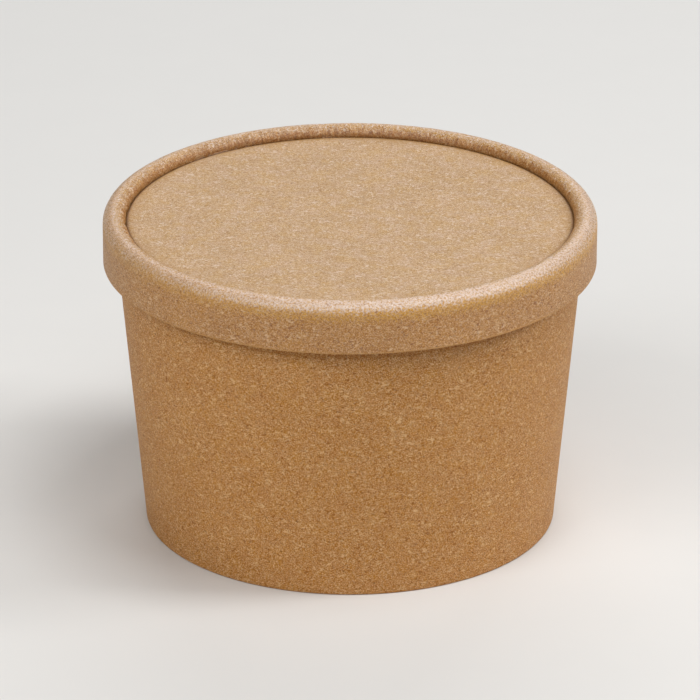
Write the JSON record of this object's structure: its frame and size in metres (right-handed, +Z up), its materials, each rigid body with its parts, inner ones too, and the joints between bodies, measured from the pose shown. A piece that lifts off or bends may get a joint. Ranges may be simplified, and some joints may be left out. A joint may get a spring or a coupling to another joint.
{
  "type": "takeaway soup container",
  "caption": "Round brown kraft board soup tub with tapered wall and raised base, shut with a ringed board lid that has a flat sunk panel.",
  "frame": {"origin": "on the table under the middle of the cup, in the plane of the foot's underside", "axes": "+Z up along the container's axis; every piece is round, and +X and +Y are level"},
  "size_m": [0.118, 0.118, 0.0783],
  "materials": {
    "cup_board": "matte brown kraft board with fine fibres and dark flecks",
    "lid_board": "matte to satin brown kraft board, a little paler on top"
  },
  "bodies": {
    "root": {"cup": "cup_board", "cup_base": "cup_board", "lid_ring": "lid_board", "lid_panel": "lid_board"}
  },
  "joints": []
}
